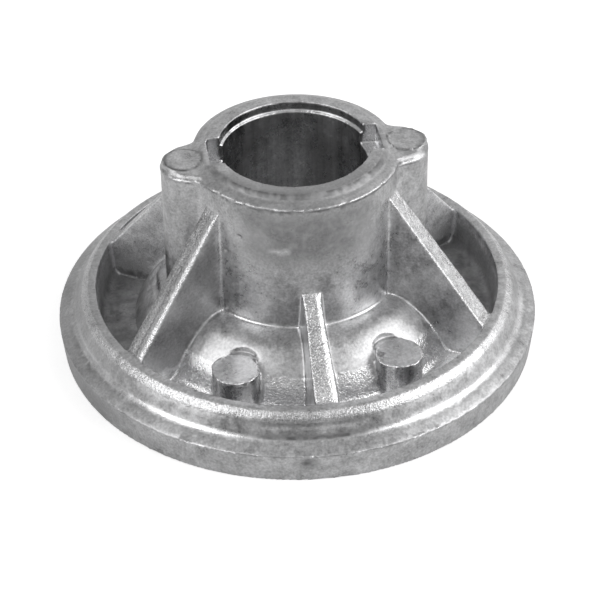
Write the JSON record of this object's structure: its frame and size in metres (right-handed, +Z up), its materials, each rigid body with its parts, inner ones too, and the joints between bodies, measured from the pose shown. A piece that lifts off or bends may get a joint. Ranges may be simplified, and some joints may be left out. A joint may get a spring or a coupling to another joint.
{
  "type": "mower blade adapter",
  "caption": "Round die cast blade adapter: a shallow ribbed dish with a stepped rim, and a tall hub with a through bore, a slotted collar and ears.",
  "frame": {"origin": "centre of the bore on the flat underside of the flange", "axes": "+Z runs up along the bore, from the underside to the slotted collar; the two ears lie on the X axis; the two posts are on the -Y side"},
  "size_m": [0.0754, 0.0754, 0.035],
  "materials": {
    "cast_aluminium": "as cast, mottled and satin, with bright broken flash lines"
  },
  "bodies": {
    "root": {"blade_adapter": "cast_aluminium"}
  },
  "joints": []
}
